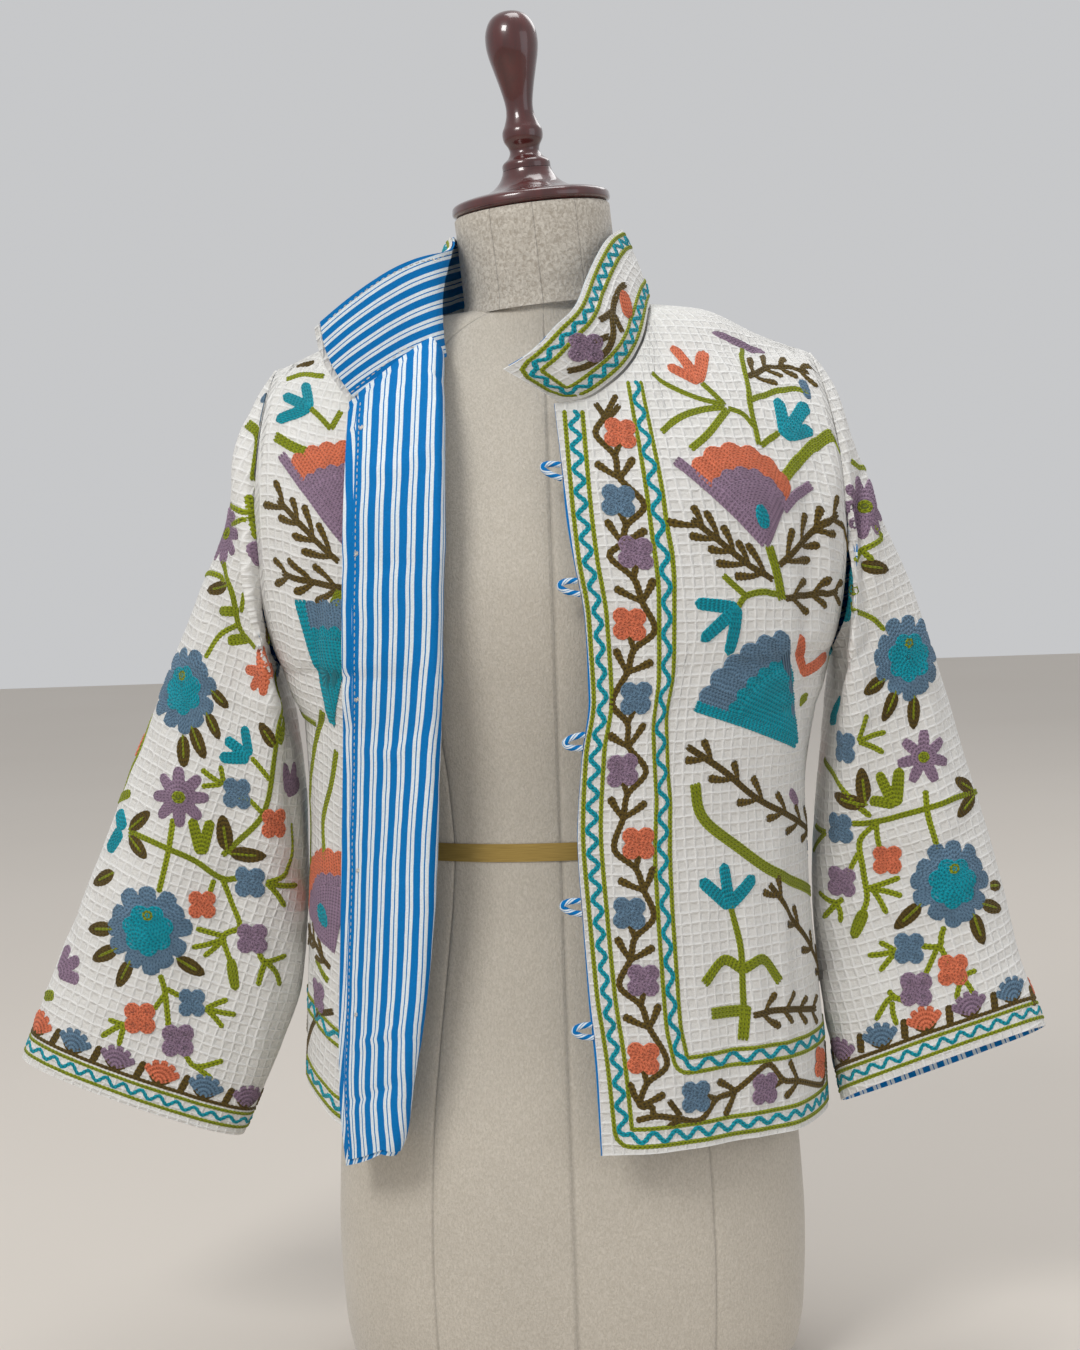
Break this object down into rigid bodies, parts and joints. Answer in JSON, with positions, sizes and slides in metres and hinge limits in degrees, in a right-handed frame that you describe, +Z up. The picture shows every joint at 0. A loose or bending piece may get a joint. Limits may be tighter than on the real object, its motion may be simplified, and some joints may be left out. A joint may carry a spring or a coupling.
{
  "type": "embroidered jacket on dress form",
  "caption": "Short open jacket of embroidered waffle cotton with striped lining, one front folded back, worn by a limbless dress form with a turned wooden neck cap.",
  "frame": {"origin": "centre of the dress form's flat underside, on the surface it stands on", "axes": "+Z up, the form faces -Y, +X towards the wearer's left"},
  "size_m": [0.7736, 0.2822, 1.0208],
  "materials": {
    "waffle_cotton": "off-white waffle-weave cotton with chain-stitch embroidery",
    "striped_lining": "plain cotton printed in blue and white stripes",
    "covered_button": "button covered in off-white cotton",
    "cream_velour": "cream velour with a short nap",
    "gold_ribbon": "dull gold satin ribbon",
    "lacquered_wood": "dark red-brown wood under clear lacquer"
  },
  "bodies": {
    "root": {"front_left": "waffle_cotton", "front_right": "waffle_cotton", "back": "waffle_cotton", "sleeve_left": "waffle_cotton", "sleeve_right": "waffle_cotton", "collar": "waffle_cotton", "collar_lining": "striped_lining", "flap_lining": "striped_lining", "cuff_lining_left": "striped_lining", "loop_1": "striped_lining", "loop_2": "striped_lining", "loop_3": "striped_lining", "loop_4": "striped_lining", "loop_5": "striped_lining", "button_1": "covered_button", "button_2": "covered_button", "button_3": "covered_button", "button_4": "covered_button", "button_5": "covered_button", "form_body": "cream_velour", "form_waist_ribbon": "gold_ribbon", "form_neck_cap": "lacquered_wood", "form_finial": "lacquered_wood"}
  },
  "joints": []
}
